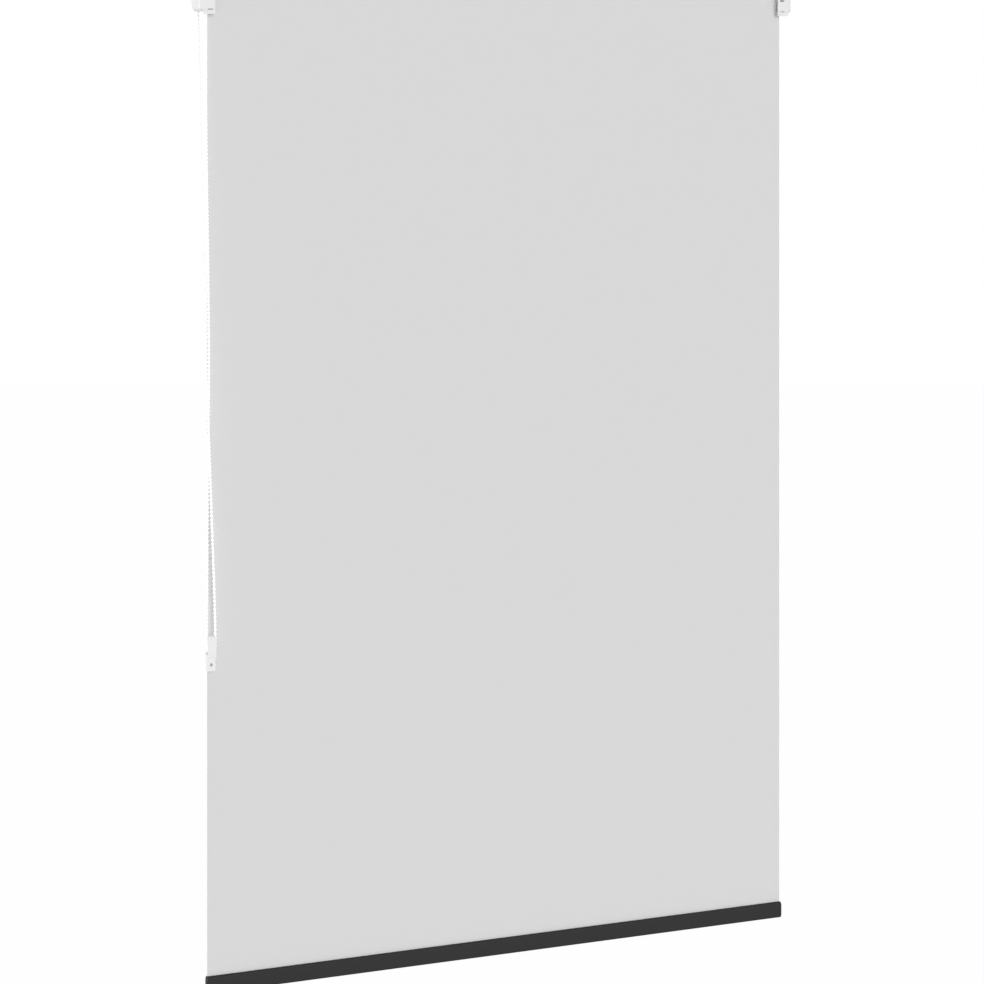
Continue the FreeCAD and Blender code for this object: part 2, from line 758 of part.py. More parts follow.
pulley = Piece("tensioner_pulley", IN_TENSIONER)
pulley.bar("Y", ("0", "0"), "-pulley_wide / 2", "pulley_wide", "%s - %s" % (PULLEY_PITCH, GROOVE))
for start in ("-pulley_wide / 2", GROOVE):
    pulley.bar("Y", ("0", "0"), start, "pulley_wide / 2 - " + GROOVE, PULLEY_PITCH + " + pulley_rim")
pulley.bar("Y", ("0", "0"), "-pulley_wide / 2", "pulley_wide", "axle_radius + running", cut=True)
keep(pulley)


# Ball chain. Each stretch is a plain flat-sided tube of the balls' section, along a route of straight runs
# joined by tangent arcs. A route's points are (distance outside the fabric's edge, in front of it, below
# the axis).
def flat_sided(centre, along, radius, sides):
    """Closed outline with flat sides round a centre, as wide on average as a circle of that radius."""
    corner = radius * math.sqrt(2 * math.pi / (sides * math.sin(2 * math.pi / sides)))
    to_side = FreeCAD.Rotation(FreeCAD.Vector(0, 0, 1), along)
    turns = [2 * math.pi * (step + 0.5) / sides for step in range(sides + 1)]
    corners = [FreeCAD.Vector(corner * math.cos(turn), corner * math.sin(turn), 0) for turn in turns]
    return Part.makePolygon([centre + to_side.multVec(point) for point in corners])


def chain_tube(name, edges):
    path = Part.Wire(edges)
    start = edges[0].valueAt(edges[0].FirstParameter)
    along = edges[0].tangentAt(edges[0].FirstParameter)
    radius = value(named("ball / 2"))
    piece = doc.addObject("Part::Feature", name)
    piece.Label = name
    piece.Shape = path.makePipeShell([flat_sided(start, along, radius, 8)], True, False)
    expected = math.pi * radius ** 2 * path.Length
    print(name, "length %.1f" % path.Length, "volume / expected %.4f" % (piece.Shape.Volume / expected))
    return keep(piece)


def half_turn(name, centre, across, middle):
    """Two quarter turns from one side of a centre to the other, through a middle point."""
    diagonal = math.sqrt(0.5)
    arcs = []
    for side in (1, -1):
        bend = centre + (across * side + middle) * diagonal
        ends = (centre + across, centre + middle) if side > 0 else (centre + middle, centre - across)
        arcs.append(Part.Arc(ends[0], bend, ends[1]).toShape())
    return chain_tube(name, arcs)


wheel_pitch = value(named(WHEEL_PITCH))
pulley_pitch = value(named(PULLEY_PITCH))
edge_x = -value(named(HALF))
wheel_centre = FreeCAD.Vector(*[value(named(place)) for place in ("-%s - chain_out" % HALF, *ON_AXIS[1:])])
pulley_centre = FreeCAD.Vector(*[value(named(place)) for place in IN_TENSIONER])
half_turn(
    "chain_over_wheel", wheel_centre, FreeCAD.Vector(0, -wheel_pitch, 0), FreeCAD.Vector(0, 0, wheel_pitch)
)
half_turn(
    "chain_in_tensioner", pulley_centre, FreeCAD.Vector(pulley_pitch, 0, 0), FreeCAD.Vector(0, 0, -pulley_pitch)
)
fabric_out = value(named(FABRIC_OUT))
axis_z = -value(named("axis_drop"))
wheel_lead = value(named("axis_out")) - fabric_out
chain_out = value(named("chain_out"))
tensioner_lead = value(named("tensioner_out")) - fabric_out
tensioner_in = value(named("tensioner_in"))
tensioner_drop = value(named("tensioner_drop"))

REAR_ROUTE = [
    (chain_out, wheel_lead - wheel_pitch, 0),
    (chain_out, wheel_lead - wheel_pitch, 26),
    (4.7, -23.8, 110),
    (4.7, -15.2, 270),
    (4.8, -0.7, 450),
    (4.5, 12.6, 575),
    (-0.6, 12.0, 710),
    (-6.2, 11.4, 850),
    (-tensioner_in - pulley_pitch, tensioner_lead, 925),
    (-tensioner_in - pulley_pitch, tensioner_lead, tensioner_drop),
]
FRONT_ROUTE = [
    (chain_out, wheel_lead + wheel_pitch, 0),
    (chain_out, wheel_lead + wheel_pitch, 26),
    (4.7, 5.2, 110),
    (4.5, 11.0, 260),
    (3.6, 16.4, 420),
    (3.6, 18.9, 580),
    (4.6, 14.9, 730),
    (4.4, 11.8, 860),
    (-tensioner_in + pulley_pitch, tensioner_lead, 925),
    (-tensioner_in + pulley_pitch, tensioner_lead, tensioner_drop),
]


def strand(name, route):
    """Tube along a route, with each corner rounded as far as its two runs allow."""
    points = [FreeCAD.Vector(edge_x - out, -fabric_out - ahead, axis_z - down) for out, ahead, down in route]
    edges = []
    start = points[0]
    radii = []
    for before, corner, after in zip(points, points[1:], points[2:]):
        arriving = corner - before
        leaving = after - corner
        turn = arriving.getAngle(leaving)
        reach = 0.45 * min(arriving.Length, leaving.Length)
        radii.append(reach / math.tan(turn / 2))
        first = corner - arriving.normalize() * reach
        last = corner + leaving.normalize() * reach
        bow = radii[-1] / math.cos(turn / 2) - radii[-1]
        inward = (first + last) * 0.5 - corner
        middle = corner + inward.normalize() * bow
        edges.append(Part.LineSegment(start, first).toShape())
        edges.append(Part.Arc(first, middle, last).toShape())
        start = last
    edges.append(Part.LineSegment(start, points[-1]).toShape())
    print(name, "radii", ["%.0f" % bend for bend in radii])
    return chain_tube(name, edges)


strand("chain_rear_strand", REAR_ROUTE)
strand("chain_front_strand", FRONT_ROUTE)

# Check and write every piece
doc.recompute()
for thing in doc.Objects:
    if "Invalid" in thing.State or "Error" in thing.State:
        raise RuntimeError("%s failed: %s" % (thing.Label, thing.State))
os.makedirs("parts", exist_ok=True)
for piece in pieces:
    shape = piece.Shape
    if shape.isNull() or not shape.isValid() or not shape.Solids:
        raise RuntimeError("%s has no valid solid" % piece.Label)
    shape.exportStep("parts/%s.step" % piece.Label)
    print("%-22s solids %d faces %3d volume %10.1f" % (piece.Label, len(shape.Solids), len(shape.Faces), shape.Volume))
print("pieces", len(pieces))
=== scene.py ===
import math

import bmesh
import bpy
from mathutils import Matrix, Vector


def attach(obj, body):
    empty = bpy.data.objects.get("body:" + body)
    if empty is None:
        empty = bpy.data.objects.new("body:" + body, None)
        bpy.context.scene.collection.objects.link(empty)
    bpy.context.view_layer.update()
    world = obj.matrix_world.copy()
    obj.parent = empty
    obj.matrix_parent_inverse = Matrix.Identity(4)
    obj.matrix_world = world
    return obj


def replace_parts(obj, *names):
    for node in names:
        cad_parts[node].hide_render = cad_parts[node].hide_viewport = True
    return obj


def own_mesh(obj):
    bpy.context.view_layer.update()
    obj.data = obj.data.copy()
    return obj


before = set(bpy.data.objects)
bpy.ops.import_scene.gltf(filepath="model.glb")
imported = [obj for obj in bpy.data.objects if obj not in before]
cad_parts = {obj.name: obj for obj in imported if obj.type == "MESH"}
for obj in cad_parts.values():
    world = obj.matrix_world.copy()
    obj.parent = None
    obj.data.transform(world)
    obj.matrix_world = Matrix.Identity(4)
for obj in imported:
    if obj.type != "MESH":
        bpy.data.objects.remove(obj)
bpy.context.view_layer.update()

# View. The blind is seen from the chain side, level with its top, from a good four metres away, so the
# uprights stay upright and the bottom rail runs downhill to the left.
scene = bpy.context.scene
scene.view_settings.view_transform = "Standard"
lens = bpy.data.cameras.new("view")
lens.sensor_width = 36
lens.lens = 111.28
lens.shift_x = -0.0004
lens.shift_y = -0.4594
lens.clip_end = 60
camera = bpy.data.objects.new("view", lens)
scene.collection.objects.link(camera)
camera.location = (-1.9253, -4.3190, -0.0720)
camera.rotation_euler = (math.radians(90), 0, math.radians(-23.974))
scene.camera = camera


# Studio. A white room gives nearly half of the light, and two broad soft lamps the rest: one in front and a
# little above, whose shadows fall below and behind each piece, and one at the chain side, a little behind the
# cloth, that lights only what stands out from it. The floor is pale and lies well below the bottom rail.
def linear(hex_colour):
    """An sRGB hex colour as the linear values that shaders take."""
    parts = [int(hex_colour[start:start + 2], 16) / 255 for start in (1, 3, 5)]
    return (*[part / 12.92 if part <= 0.04045 else ((part + 0.055) / 1.055) ** 2.4 for part in parts], 1)


def add(tree, kind, settings=None, links=None):
    """Adds a node with its properties or socket values, and its incoming links."""
    made = tree.nodes.new(kind)
    for name, number in (settings or {}).items():
        if isinstance(name, int) or name in made.inputs:
            made.inputs[name].default_value = number
        else:
            setattr(made, name, number)
    for name, source in (links or {}).items():
        tree.links.new(source, made.inputs[name])
    return made


def seen_rays(tree):
    """A socket that is 1 for rays that show what they meet, and 0 for those that only gather its light."""
    rays = add(tree, "ShaderNodeLightPath")
    seen = rays.outputs["Is Camera Ray"]
    for kind in ("Is Glossy Ray", "Is Transmission Ray"):
        either = add(tree, "ShaderNodeMath", {"operation": "MAXIMUM"}, {0: seen, 1: rays.outputs[kind]})
        seen = either.outputs[0]
    return seen


room = bpy.data.worlds.new("white room")
scene.world = room
room.use_nodes = True
tree = room.node_tree
tree.nodes.clear()
lit = add(tree, "ShaderNodeBackground", {"Color": linear("#FFFFFF"), "Strength": 0.42})
white = add(tree, "ShaderNodeBackground", {"Color": linear("#FFFFFF"), "Strength": 1.0})
mixed = add(tree, "ShaderNodeMixShader", None, {0: seen_rays(tree), 1: lit.outputs[0], 2: white.outputs[0]})
add(tree, "ShaderNodeOutputWorld", None, {"Surface": mixed.outputs[0]})

for name, strength, spread, towards in (
    ("front lamp", 1.70, 45, (0, -0.990, 0.140)),
    ("side lamp", 1.85, 20, (-0.94, 0.342, 0)),
):
    lamp_data = bpy.data.lights.new(name, "SUN")
    lamp_data.energy = strength
    lamp_data.angle = math.radians(spread)
    lamp = bpy.data.objects.new(name, lamp_data)
    scene.collection.objects.link(lamp)
    lamp.rotation_euler = Vector(towards).to_track_quat("Z", "Y").to_euler()


def new_material(name):
    """A material with its shader, ready for nodes."""
    made = bpy.data.materials.new(name)
    made.use_nodes = True
    made.node_tree.nodes.clear()
    shader = add(made.node_tree, "ShaderNodeBsdfPrincipled")
    add(made.node_tree, "ShaderNodeOutputMaterial", None, {"Surface": shader.outputs[0]})
    return made, made.node_tree, shader


def new_piece(name, bm, materials):
    """An object at the origin from a bmesh in millimetres."""
    bmesh.ops.transform(bm, matrix=Matrix.Scale(0.001, 4), verts=bm.verts)
    mesh = bpy.data.meshes.new(name)
    bm.to_mesh(mesh)
    bm.free()
    for material in materials:
        mesh.materials.append(material)
    made = bpy.data.objects.new(name, mesh)
    scene.collection.objects.link(made)
    return made


# Painted board, matt and pale: the camera sees it nearly white, with only the object's faint shadow. It
# throws none itself, or it would hide the lowest part of the front lamp from the rail.
FLOOR_RADIUS = 14000
FLOOR_AT = -2150
board, tree, shader = new_material("white painted board")
shader.inputs["Base Color"].default_value = linear("#F4F4F4")
shader.inputs["Roughness"].default_value = 0.9
share = add(tree, "ShaderNodeMath", {"operation": "MULTIPLY", 1: 0.985}, {0: seen_rays(tree)})
glow = add(tree, "ShaderNodeEmission", {"Color": linear("#FFFFFF"), "Strength": 1.0})
mixed = add(
    tree, "ShaderNodeMixShader", None, {0: share.outputs[0], 1: shader.outputs[0], 2: glow.outputs[0]}
)
tree.links.new(mixed.outputs[0], tree.nodes["Material Output"].inputs["Surface"])
bm = bmesh.new()
bmesh.ops.create_circle(bm, cap_ends=True, segments=64, radius=FLOOR_RADIUS)
bmesh.ops.translate(bm, vec=(0, 0, FLOOR_AT), verts=bm.verts)
floor = new_piece("floor", bm, [board])
floor.visible_shadow = False


# Ball chain. White acetal balls are moulded at an even pitch on a thin polyester cord, in one endless loop.
# It hangs from the wheel behind the cover, crosses in front of the fabric's edge and turns round the
# pulley of the tensioner. Each route is (outside the fabric's edge, in front of it, below the roller axis).
BALL = 4.5
BALL_PITCH = 6.0
CORD = 2.0
CORD_BETWEEN = 2.2
ROLLER_AXIS = Vector((0, -0.0232, -0.0095))
FABRIC_EDGE = -0.483
FABRIC_FRONT = -0.038
REAR_ROUTE = [
    (0.0049, -0.03008, 0),
    (0.0049, -0.03008, 0.026),
    (0.0047, -0.0238, 0.110),
    (0.0047, -0.0152, 0.270),
    (0.0048, -0.0007, 0.450),
    (0.0045, 0.0126, 0.575),
    (-0.0006, 0.0120, 0.710),
    (-0.0062, 0.0114, 0.850),
    (-0.00868, 0.0112, 0.925),
    (-0.00868, 0.0112, 0.960),
]
FRONT_ROUTE = [
    (0.0049, 0.00048, 0),
    (0.0049, 0.00048, 0.026),
    (0.0047, 0.0052, 0.110),
    (0.0045, 0.0110, 0.260),
    (0.0036, 0.0164, 0.420),
    (0.0036, 0.0189, 0.580),
    (0.0046, 0.0149, 0.730),
    (0.0044, 0.0118, 0.860),
    (0.00468, 0.0112, 0.925),
    (0.00468, 0.0112, 0.960),
]

# Acetal: dense white, smooth from the mould, with a soft waxy shine. A faint painted glow stands in for
# the light that the balls let through, and keeps their shaded side pale.
acetal, tree, shader = new_material("moulded acetal")
where = add(tree, "ShaderNodeTexCoord")
cloud = add(tree, "ShaderNodeTexNoise", {"Scale": 60, "Detail": 2}, {"Vector": where.outputs["Object"]})
tint = add(tree, "ShaderNodeValToRGB", None, {"Fac": cloud.outputs["Fac"]})
tint.color_ramp.elements[0].color = linear("#F3F3F2")
tint.color_ramp.elements[1].color = linear("#F9F9F8")
tree.links.new(tint.outputs["Color"], shader.inputs["Base Color"])
shader.inputs["Roughness"].default_value = 0.32
shader.inputs["IOR"].default_value = 1.48
# Painted glow: the balls give off a little light of their own, which lightens their shaded side
shader.inputs["Emission Color"].default_value = linear("#FFFFFF")
shader.inputs["Emission Strength"].default_value = 0.22


def hanging_line(route):
    """Points along the smooth line of a route, read from its NURBS spline."""
    curve = bpy.data.curves.new("route", "CURVE")
    curve.dimensions = "3D"
    spline = curve.splines.new("NURBS")
    spline.points.add(len(route) - 1)
    for point, (out, ahead, down) in zip(spline.points, route):
        point.co = (FABRIC_EDGE - out, FABRIC_FRONT - ahead, ROLLER_AXIS.z - down, 1)
    spline.order_u = 3
    spline.use_endpoint_u = True
    spline.resolution_u = 24
    holder = bpy.data.objects.new("route", curve)
    scene.collection.objects.link(holder)
    bpy.context.view_layer.update()
    drawn = bpy.data.meshes.new_from_object(holder)
    line = [vertex.co.copy() for vertex in drawn.vertices]
    bpy.data.objects.remove(holder)
    bpy.data.curves.remove(curve)
    bpy.data.meshes.remove(drawn)
    return line


def along(line, distance):
    """The point and the direction at a distance along a line."""
    for start, end in zip(line, line[1:]):
        step = (end - start).length
        if distance <= step or end is line[-1]:
            return start.lerp(end, distance / step), (end - start).normalized()
        distance -= step


def ball_chain(name, line):
    """Balls and the cord between them along a line in metres."""
    length = sum((end - start).length for start, end in zip(line, line[1:]))
    count = round(length / (BALL_PITCH / 1000))
    pitch = length / count
    bm = bmesh.new()
    for number in range(count):
        spot, way = along(line, (number + 0.5) * pitch)
        place = Matrix.Translation(spot * 1000) @ way.to_track_quat("Z", "Y").to_matrix().to_4x4()
        bmesh.ops.create_uvsphere(bm, u_segments=10, v_segments=7, radius=BALL / 2, matrix=place)
        spot, way = along(line, number * pitch)
        place = Matrix.Translation(spot * 1000) @ way.to_track_quat("Z", "Y").to_matrix().to_4x4()
        bmesh.ops.create_cone(
            bm, segments=6, radius1=CORD / 2, radius2=CORD / 2, depth=CORD_BETWEEN, matrix=place
        )
    for face in bm.faces:
        face.smooth = True
    chain = new_piece(name, bm, [acetal])
    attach(chain, "brackets")
    return chain, length


for name, route, node in (
    ("chain_behind", REAR_ROUTE, "chain_rear_strand"),
    ("chain_in_front", FRONT_ROUTE, "chain_front_strand"),
):
    line = hanging_line(route)
    chain, length = ball_chain(name, line)
    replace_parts(chain, node)

# The loop's two turns: eight balls lie in the wheel's pockets, and three in the tensioner's pulley
WHEEL_AT = Vector((-0.4879, ROLLER_AXIS.y, ROLLER_AXIS.z))
WHEEL_RADIUS = 0.01528
PULLEY_AT = Vector((-0.4810, -0.0492, -0.9695))
PULLEY_RADIUS = 0.00668
turns = [math.pi * step / 32 for step in range(33)]
over = [WHEEL_AT + WHEEL_RADIUS * Vector((0, -math.cos(turn), math.sin(turn))) for turn in turns]
under = [PULLEY_AT + PULLEY_RADIUS * Vector((math.cos(turn), 0, -math.sin(turn))) for turn in turns]
for name, line, node in (
    ("chain_on_wheel", over, "chain_over_wheel"),
    ("chain_on_pulley", under, "chain_in_tensioner"),
):
    chain, length = ball_chain(name, line)
    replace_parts(chain, node)


# Brackets. Each is pressed from 2 mm steel, with a wall flange, a ceiling flange and a cheek that carries
# the roller's end, and is powder coated white. The covers hide all but the flanges' edges.
def use_material(material, *nodes):
    """Gives carried-over parts their finish."""
    for node in nodes:
        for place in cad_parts[node].material_slots:
            place.material = material


# White powder coat: satin, with the fine orange peel of a baked paint
paint, tree, shader = new_material("white powder coat")
where = add(tree, "ShaderNodeTexCoord")
peel = add(tree, "ShaderNodeTexNoise", {"Scale": 700, "Detail": 2}, {"Vector": where.outputs["Object"]})
relief = add(tree, "ShaderNodeBump", {"Strength": 0.1, "Distance": 0.0001}, {"Height": peel.outputs["Fac"]})
tree.links.new(relief.outputs[0], shader.inputs["Normal"])
tint = add(tree, "ShaderNodeValToRGB", None, {"Fac": peel.outputs["Fac"]})
tint.color_ramp.elements[0].color = linear("#F1F1F1")
tint.color_ramp.elements[1].color = linear("#F4F4F4")
tree.links.new(tint.outputs["Color"], shader.inputs["Base Color"])
shader.inputs["Roughness"].default_value = 0.45
use_material(paint, "drive_bracket", "idle_bracket")


# Bracket covers. Each is one moulding in white ABS, 1.8 mm thick, open towards the wall, at the top and
# over the fabric, that fits over the bracket. A lip hangs below the front, and a blade in a slot frees it.
COVER_WALL = 1.8
COVER_INNER = 474.5
COVER_OUTER = 499.0
COVER_TOP = 18.5
COVER_FLOOR = -29.8
COVER_BACK = -14.0
COVER_FRONT = -49.4
COVER_CORNER = 7.0
COVER_ROUND = 4.0
LIP_LOW = -33.5
LIP_HIGH = -28.1
LIP_BACK = -44.5
LIP_OUT = 492.5
FLOOR_STARTS = 491.0
RIB_HIGH = -28.3
RIB_BACK = -40.2
RIB_LONG = 7.0
RIB_THICK = 1.2
RELEASE_SLOTS = (-26.8, -9.5, 7.0)
SLOT_IN = 478.25
SLOT_OUT = 485.75
SLOT_HALF = 1.2

# ABS from a spark-finished mould: an even matt white with a very fine grain, drawn at 0.4 mm to show
abs_white, tree, shader = new_material("moulded ABS")
where = add(tree, "ShaderNodeTexCoord")
grain = add(tree, "ShaderNodeTexNoise", {"Scale": 2500, "Detail": 2}, {"Vector": where.outputs["Object"]})
relief = add(
    tree, "ShaderNodeBump", {"Strength": 0.12, "Distance": 0.0001}, {"Height": grain.outputs["Fac"]}
)
tree.links.new(relief.outputs[0], shader.inputs["Normal"])
cloud = add(tree, "ShaderNodeTexNoise", {"Scale": 25, "Detail": 2}, {"Vector": where.outputs["Object"]})
tint = add(tree, "ShaderNodeValToRGB", None, {"Fac": cloud.outputs["Fac"]})
tint.color_ramp.elements[0].color = linear("#E4E4E4")
tint.color_ramp.elements[1].color = linear("#E6E6E6")
tree.links.new(tint.outputs["Color"], shader.inputs["Base Color"])
shader.inputs["Roughness"].default_value = 0.5


def ease_edges(piece, width, segments=2):
    """Small rounds on the sharp edges, with flat faces left flat."""
    for polygon in piece.data.polygons:
        polygon.use_smooth = True
    bevel = piece.modifiers.new("eased edges", "BEVEL")
    bevel.width = width / 1000
    bevel.segments = segments
    bevel.limit_method = "ANGLE"
    bevel.angle_limit = math.radians(35)
    bevel.harden_normals = True


def corners(extruded):
    """The moved vertices in what an extrusion gives back."""
    return [part for part in extruded["geom"] if isinstance(part, bmesh.types.BMVert)]


def cut_along(bm, planes):
    """Divides the faces where planes, each a point and its direction, pass through them."""
    for point, across in planes:
        bmesh.ops.bisect_plane(
            bm, geom=bm.verts[:] + bm.edges[:] + bm.faces[:], dist=0.0001, plane_co=point, plane_no=across
        )


def add_block(bm, low, high):
    """A rectangular block between two corners."""
    block = bmesh.ops.create_cube(bm, size=1)["verts"]
    bmesh.ops.scale(bm, vec=[there - here for here, there in zip(low, high)], verts=block)
    bmesh.ops.translate(bm, vec=[(there + here) / 2 for here, there in zip(low, high)], verts=block)


def centre(part):
    """The middle of a face or an edge."""
    return sum((vertex.co for vertex in part.verts), Vector()) / len(part.verts)


def bracket_cover(name, side):
    """A cover as a bent sheet, open at three sides, that is then given its wall, lip and rib."""
    bm = bmesh.new()
    bottom, top = COVER_FLOOR, COVER_TOP
    outline = [(COVER_INNER, top), (COVER_OUTER, top), (COVER_OUTER, bottom), (COVER_INNER, bottom)]
    back = bm.faces.new([bm.verts.new((x, COVER_BACK, z)) for x, z in outline])
    front = bmesh.ops.extrude_face_region(bm, geom=[back])
    bmesh.ops.translate(bm, vec=(0, COVER_FRONT - COVER_BACK, 0), verts=corners(front))
    bmesh.ops.recalc_face_normals(bm, faces=bm.faces)
    open_sides = []
    for face in bm.faces:
        at = centre(face)
        if at.y > COVER_BACK - 1 or at.z > COVER_TOP - 1 or at.x < COVER_INNER + 1:
            open_sides.append(face)
    bmesh.ops.delete(bm, geom=open_sides, context="FACES")
    low_corner = []
    for edge in bm.edges:
        at = centre(edge)
        if len(edge.link_faces) == 2 and at.x > COVER_OUTER - 1 and at.z < COVER_FLOOR + 1:
            low_corner.append(edge)
    bmesh.ops.bevel(
        bm, geom=low_corner, offset=COVER_CORNER, segments=8, profile=0.5, affect="EDGES", material=-1,
        clamp_overlap=True,
    )
    rim = [edge for edge in bm.edges if len(edge.link_faces) == 2 and centre(edge).y < COVER_FRONT + 1]
    bmesh.ops.bevel(
        bm, geom=rim, offset=COVER_ROUND, segments=6, profile=0.5, affect="EDGES", material=-1,
        clamp_overlap=True,
    )

    # Release slots in the front, and the floor open behind the lip
    planes = [((x, 0, 0), (1, 0, 0)) for x in (SLOT_IN, SLOT_OUT, FLOOR_STARTS)]
    planes += [((0, 0, z + half), (0, 0, 1)) for z in RELEASE_SLOTS for half in (-SLOT_HALF, SLOT_HALF)]
    planes += [((0, LIP_BACK, 0), (0, 1, 0))]
    cut_along(bm, planes)
    gone = []
    for face in bm.faces:
        at = centre(face)
        in_slot = SLOT_IN < at.x < SLOT_OUT and any(abs(at.z - z) < SLOT_HALF for z in RELEASE_SLOTS)
        if at.y < COVER_FRONT + 1.2 and in_slot:
            gone.append(face)
        if at.z < COVER_FLOOR + 0.1 and at.y > LIP_BACK and at.x < FLOOR_STARTS:
            gone.append(face)
    bmesh.ops.delete(bm, geom=gone, context="FACES")
    bmesh.ops.recalc_face_normals(bm, faces=bm.faces)
    if sum(face.normal.y for face in bm.faces if centre(face).y < COVER_FRONT + 0.1) > 0:
        bmesh.ops.reverse_faces(bm, faces=bm.faces)
    bmesh.ops.solidify(bm, geom=bm.faces[:], thickness=COVER_WALL)

    # The lip, and the rib behind the front below the lowest slot
    add_block(bm, (COVER_INNER + 0.05, COVER_FRONT, LIP_LOW), (LIP_OUT, LIP_BACK, LIP_HIGH))
    add_block(
        bm, (COVER_INNER + 0.1, COVER_FRONT + 1.6, RIB_HIGH - RIB_THICK),
        (COVER_INNER + RIB_LONG, RIB_BACK, RIB_HIGH),
    )
    if side < 0:
        bmesh.ops.scale(bm, vec=(-1, 1, 1), verts=bm.verts)
        bmesh.ops.reverse_faces(bm, faces=bm.faces)
    cover = new_piece(name, bm, [abs_white])
    ease_edges(cover, 0.3)
    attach(cover, "brackets")
    return cover


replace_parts(bracket_cover("chain_side_cover", -1), "drive_cover")
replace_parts(bracket_cover("idle_side_cover", 1), "idle_cover")


# Roller. A drawn aluminium tube with keys inside holds the drive's sleeve at one end and the idle plug at
# the other. Two wraps of fabric stay on it, and the start is stuck down with tape.
ROLLER_LONG = 966.0
WRAPS = 2
WRAPS_OUTSIDE = 14.8
FABRIC_THICK = 0.4

# Mill-finish aluminium: bright, with faint draw lines along the tube
aluminium, tree, shader = new_material("drawn aluminium")
where = add(tree, "ShaderNodeTexCoord")
stretched = add(tree, "ShaderNodeMapping", {"Scale": (4, 900, 900)}, {"Vector": where.outputs["Object"]})
lines = add(tree, "ShaderNodeTexNoise", {"Scale": 1, "Detail": 3}, {"Vector": stretched.outputs[0]})
rough = add(tree, "ShaderNodeMapRange", {"To Min": 0.22, "To Max": 0.42}, {"Value": lines.outputs["Fac"]})
tree.links.new(rough.outputs[0], shader.inputs["Roughness"])
relief = add(
    tree, "ShaderNodeBump", {"Strength": 0.15, "Distance": 0.00005}, {"Height": lines.outputs["Fac"]}
)
tree.links.new(relief.outputs[0], shader.inputs["Normal"])
shader.inputs["Base Color"].default_value = linear("#D9DADC")
shader.inputs["Metallic"].default_value = 1
use_material(aluminium, "roller_tube")

# Blackout cloth: a plain polyester weave, light grey, pressed smooth. The yarns are 0.4 mm apart and
# drawn at 0.8 mm, faint, as the cloth looks smooth from a step away.
cloth, tree, shader = new_material("woven blackout cloth")
where = add(tree, "ShaderNodeTexCoord")
weft = add(
    tree, "ShaderNodeTexWave", {"bands_direction": "Z", "Scale": 200, "Distortion": 0.4, "Detail": 1},
    {"Vector": where.outputs["Object"]},
)
warp = add(
    tree, "ShaderNodeTexWave", {"bands_direction": "X", "Scale": 200, "Distortion": 0.4, "Detail": 1},
    {"Vector": where.outputs["Object"]},
)
weave = add(
    tree, "ShaderNodeMath", {"operation": "MULTIPLY"}, {0: weft.outputs["Fac"], 1: warp.outputs["Fac"]}
)
relief = add(tree, "ShaderNodeBump", {"Strength": 0.1, "Distance": 0.00005}, {"Height": weave.outputs[0]})
tree.links.new(relief.outputs[0], shader.inputs["Normal"])
slub = add(tree, "ShaderNodeTexNoise", {"Scale": 300, "Detail": 2}, {"Vector": where.outputs["Object"]})
tint = add(tree, "ShaderNodeValToRGB", None, {"Fac": slub.outputs["Fac"]})
tint.color_ramp.elements[0].color = linear("#D8D8D8")
tint.color_ramp.elements[1].color = linear("#DADADA")
tree.links.new(tint.outputs["Color"], shader.inputs["Base Color"])
shader.inputs["Roughness"].default_value = 0.85
shader.inputs["Specular IOR Level"].default_value = 0.2
shader.inputs["Sheen Weight"].default_value = 0.05

# Blackout coating: foamed acrylic on the back of the cloth, warm white and dead matt
coating, tree, shader = new_material("foamed acrylic coating")
where = add(tree, "ShaderNodeTexCoord")
foam = add(tree, "ShaderNodeTexNoise", {"Scale": 1200, "Detail": 2}, {"Vector": where.outputs["Object"]})
relief = add(tree, "ShaderNodeBump", {"Strength": 0.1, "Distance": 0.00005}, {"Height": foam.outputs["Fac"]})
tree.links.new(relief.outputs[0], shader.inputs["Normal"])
tint = add(tree, "ShaderNodeValToRGB", None, {"Fac": foam.outputs["Fac"]})
tint.color_ramp.elements[0].color = linear("#ECEBE7")
tint.color_ramp.elements[1].color = linear("#F2F1ED")
tree.links.new(tint.outputs["Color"], shader.inputs["Base Color"])
shader.inputs["Roughness"].default_value = 0.95


def crisp_edges(bm):
    """Smooth faces whose shading stops at the sharp edges."""
    for face in bm.faces:
        face.smooth = True
    for edge in bm.edges:
        edge.smooth = len(edge.link_faces) == 2 and edge.calc_face_angle() < 0.6


# The wraps: a strip wound twice round the tube, from where the cloth leaves the roll in front to the tape.
# It is a tenth thinner than the cloth, so that its layers stay apart.
bm = bmesh.new()
steps = 96
turn = Matrix.Rotation(-2 * math.pi * WRAPS / steps, 3, "X")
radius = WRAPS_OUTSIDE
tip = bm.verts.new((-ROLLER_LONG / 2, -radius, 0))
for step in range(steps):
    tip = bmesh.ops.extrude_vert_indiv(bm, verts=[tip])["verts"][0]
    tighter = (radius - FABRIC_THICK * WRAPS / steps) / radius
    bmesh.ops.rotate(bm, cent=(0, 0, 0), matrix=turn, verts=[tip])
    bmesh.ops.scale(bm, vec=(1, tighter, tighter), verts=[tip])
    radius *= tighter
far_side = bmesh.ops.extrude_edge_only(bm, edges=bm.edges[:])
bmesh.ops.translate(bm, vec=(ROLLER_LONG, 0, 0), verts=corners(far_side))
bmesh.ops.recalc_face_normals(bm, faces=bm.faces)
bmesh.ops.solidify(bm, geom=bm.faces[:], thickness=0.9 * FABRIC_THICK)
bmesh.ops.translate(bm, vec=ROLLER_AXIS * 1000, verts=bm.verts)
crisp_edges(bm)
wraps = new_piece("fabric_wraps", bm, [cloth])
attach(wraps, "tube")
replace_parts(wraps, "fabric_roll")

